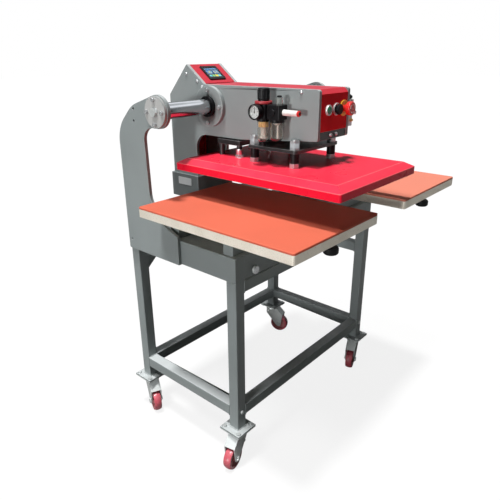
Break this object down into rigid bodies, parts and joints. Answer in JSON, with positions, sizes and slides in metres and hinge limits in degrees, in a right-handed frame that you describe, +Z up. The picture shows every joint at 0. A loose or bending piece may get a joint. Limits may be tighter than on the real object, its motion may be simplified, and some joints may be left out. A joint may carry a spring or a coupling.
{
  "type": "flat heat press",
  "caption": "Pneumatic flat heat press on a castored stand: the heated platen hangs from a head that slides along a shaft between side-by-side padded tables.",
  "frame": {"origin": "floor level, under the centre of the machine's outline with the head parked as pictured", "axes": "+X to the operator's right along the shaft, +Y to the rear, +Z up"},
  "size_m": [1.024, 0.833, 1.3166],
  "materials": {
    "grey_paint": "satin powder coat",
    "zinc_steel": "zinc plated",
    "cast_aluminium": "machined",
    "silicone": "matt",
    "chrome_steel": "polished",
    "black_paint": "satin",
    "red_paint": "semi-gloss enamel",
    "black_plastic": "moulded",
    "clear_plastic": "clear",
    "insulation": "felted",
    "green_plastic": "gloss",
    "red_plastic": "gloss",
    "red_polyurethane": "smooth"
  },
  "bodies": {
    "frame": {"stand_legs": "grey_paint", "stand_lower_rails": "grey_paint", "stand_upper_rails": "grey_paint", "caster_plates": "zinc_steel", "base_rails": "grey_paint", "base_deck": "grey_paint", "table_supports": "grey_paint", "table_base_left": "cast_aluminium", "table_base_right": "cast_aluminium", "table_pads": "silicone", "arm_left": "grey_paint", "arm_right": "grey_paint", "shuttle_shaft": "chrome_steel", "shaft_end_discs": "grey_paint", "rear_guide_rail": "grey_paint", "frame_bolts": "zinc_steel"},
    "head": {"head_plate_left": "grey_paint", "head_plate_right": "grey_paint", "head_tie_blocks": "black_paint", "head_top_cover": "red_paint", "front_panel": "red_paint", "console_cover": "red_paint", "display_unit": "black_plastic", "rear_cover": "red_paint", "column_base": "grey_paint", "shaft_bearings": "grey_paint", "air_cylinder": "cast_aluminium", "head_bolts": "zinc_steel", "switch_bodies": "chrome_steel", "solenoid_valve": "cast_aluminium", "service_set": "black_plastic", "service_bowls": "clear_plastic", "pressure_gauge": "black_plastic"},
    "platen": {"piston_rod": "chrome_steel", "lift_plate": "black_paint", "platen_studs": "chrome_steel", "platen_spacers": "black_plastic", "platen_guide": "zinc_steel", "platen_cover": "red_paint", "platen_insulation": "insulation", "heating_plate": "cast_aluminium"},
    "table_knob_left": {"table_knob_left": "black_plastic"},
    "table_knob_right": {"table_knob_right": "black_plastic"},
    "guide_roller_front": {"guide_roller_front": "zinc_steel"},
    "guide_roller_rear": {"guide_roller_rear": "zinc_steel"},
    "green_button": {"green_button": "green_plastic"},
    "black_button": {"black_button": "black_plastic"},
    "emergency_stop": {"emergency_stop": "red_plastic"},
    "regulator_knob": {"regulator_knob": "black_plastic"},
    "gauge_needle": {"gauge_needle": "red_plastic"},
    "caster_fork_front_left": {"caster_fork_front_left": "zinc_steel"},
    "caster_wheel_front_left": {"caster_wheel_front_left": "red_polyurethane"},
    "caster_brake_front_left": {"caster_brake_front_left": "zinc_steel"},
    "caster_fork_rear_left": {"caster_fork_rear_left": "zinc_steel"},
    "caster_wheel_rear_left": {"caster_wheel_rear_left": "red_polyurethane"},
    "caster_fork_front_right": {"caster_fork_front_right": "zinc_steel"},
    "caster_wheel_front_right": {"caster_wheel_front_right": "red_polyurethane"},
    "caster_brake_front_right": {"caster_brake_front_right": "zinc_steel"},
    "caster_fork_rear_right": {"caster_fork_rear_right": "zinc_steel"},
    "caster_wheel_rear_right": {"caster_wheel_rear_right": "red_polyurethane"}
  },
  "joints": [
    {"name": "head_shuttle", "type": "slide", "parent": "frame", "child": "head", "axis": [1, 0, 0], "range_m": [-0.187, 0.417]},
    {"name": "platen_lift", "type": "slide", "parent": "head", "child": "platen", "axis": [0, 0, 1], "range_m": [-0.08, 0]},
    {"name": "table_knob_left_turn", "type": "hinge", "parent": "frame", "child": "table_knob_left", "pos_m": [-0.302, -0.3755, 0.848], "axis": [0, 0, 1], "range_deg": [0, 720]},
    {"name": "table_knob_right_turn", "type": "hinge", "parent": "frame", "child": "table_knob_right", "pos_m": [0.302, -0.3755, 0.848], "axis": [0, 0, 1], "range_deg": [0, 720]},
    {"name": "guide_roller_front_spin", "type": "hinge", "parent": "head", "child": "guide_roller_front", "pos_m": [-0.115, 0.2972, 0.833], "axis": [0, 0, 1], "range_deg": [-720, 1600]},
    {"name": "guide_roller_rear_spin", "type": "hinge", "parent": "head", "child": "guide_roller_rear", "pos_m": [-0.115, 0.3398, 0.833], "axis": [0, 0, 1], "range_deg": [-1600, 720]},
    {"name": "green_button_press", "type": "slide", "parent": "head", "child": "green_button", "axis": [0, 1, 0], "range_m": [0, 0.004], "stiffness_N_per_m": 600, "springref_m": -0.001},
    {"name": "black_button_press", "type": "slide", "parent": "head", "child": "black_button", "axis": [0, 1, 0], "range_m": [0, 0.004], "stiffness_N_per_m": 600, "springref_m": -0.001},
    {"name": "emergency_stop_press", "type": "slide", "parent": "head", "child": "emergency_stop", "axis": [0, 1, 0], "range_m": [0, 0.005]},
    {"name": "regulator_knob_turn", "type": "hinge", "parent": "head", "child": "regulator_knob", "pos_m": [-0.2355, -0.079, 1.24], "axis": [0, 0, 1], "range_deg": [-540, 540]},
    {"name": "gauge_needle_turn", "type": "hinge", "parent": "head", "child": "gauge_needle", "pos_m": [-0.2755, -0.079, 1.1925], "axis": [1, 0, 0], "range_deg": [-135, 135]},
    {"name": "front_left_swivel", "type": "hinge", "parent": "frame", "child": "caster_fork_front_left", "pos_m": [-0.395, -0.1015, 0.13], "axis": [0, 0, 1], "continuous": true},
    {"name": "front_left_roll", "type": "hinge", "parent": "caster_fork_front_left", "child": "caster_wheel_front_left", "pos_m": [-0.43217, -0.1094, 0.044], "axis": [0.2079, -0.9781, 0], "continuous": true},
    {"name": "front_left_brake", "type": "hinge", "parent": "caster_fork_front_left", "child": "caster_brake_front_left", "pos_m": [-0.37739, -0.09776, 0.1097], "axis": [-0.2079, 0.9781, 0], "range_deg": [0, 12]},
    {"name": "rear_left_swivel", "type": "hinge", "parent": "frame", "child": "caster_fork_rear_left", "pos_m": [-0.395, 0.3725, 0.13], "axis": [0, 0, 1], "continuous": true},
    {"name": "rear_left_roll", "type": "hinge", "parent": "caster_fork_rear_left", "child": "caster_wheel_rear_left", "pos_m": [-0.41046, 0.33779, 0.044], "axis": [0.9135, -0.4067, 0], "continuous": true},
    {"name": "front_right_swivel", "type": "hinge", "parent": "frame", "child": "caster_fork_front_right", "pos_m": [0.395, -0.1015, 0.13], "axis": [0, 0, 1], "continuous": true},
    {"name": "front_right_roll", "type": "hinge", "parent": "caster_fork_front_right", "child": "caster_wheel_front_right", "pos_m": [0.35886, -0.11324, 0.044], "axis": [0.309, -0.9511, 0], "continuous": true},
    {"name": "front_right_brake", "type": "hinge", "parent": "caster_fork_front_right", "child": "caster_brake_front_right", "pos_m": [0.41212, -0.09594, 0.1097], "axis": [-0.309, 0.9511, 0], "range_deg": [0, 12]},
    {"name": "rear_right_swivel", "type": "hinge", "parent": "frame", "child": "caster_fork_rear_right", "pos_m": [0.395, 0.3725, 0.13], "axis": [0, 0, 1], "continuous": true},
    {"name": "rear_right_roll", "type": "hinge", "parent": "caster_fork_rear_right", "child": "caster_wheel_rear_right", "pos_m": [0.40674, 0.33636, 0.044], "axis": [0.9511, 0.309, 0], "continuous": true}
  ],
  "couplings": [
    {"joint": "guide_roller_front_spin", "follows": "head_shuttle", "rad_per_m": 66.667},
    {"joint": "guide_roller_rear_spin", "follows": "head_shuttle", "rad_per_m": -66.667},
    {"joint": "gauge_needle_turn", "follows": "regulator_knob_turn", "ratio": -0.25}
  ]
}
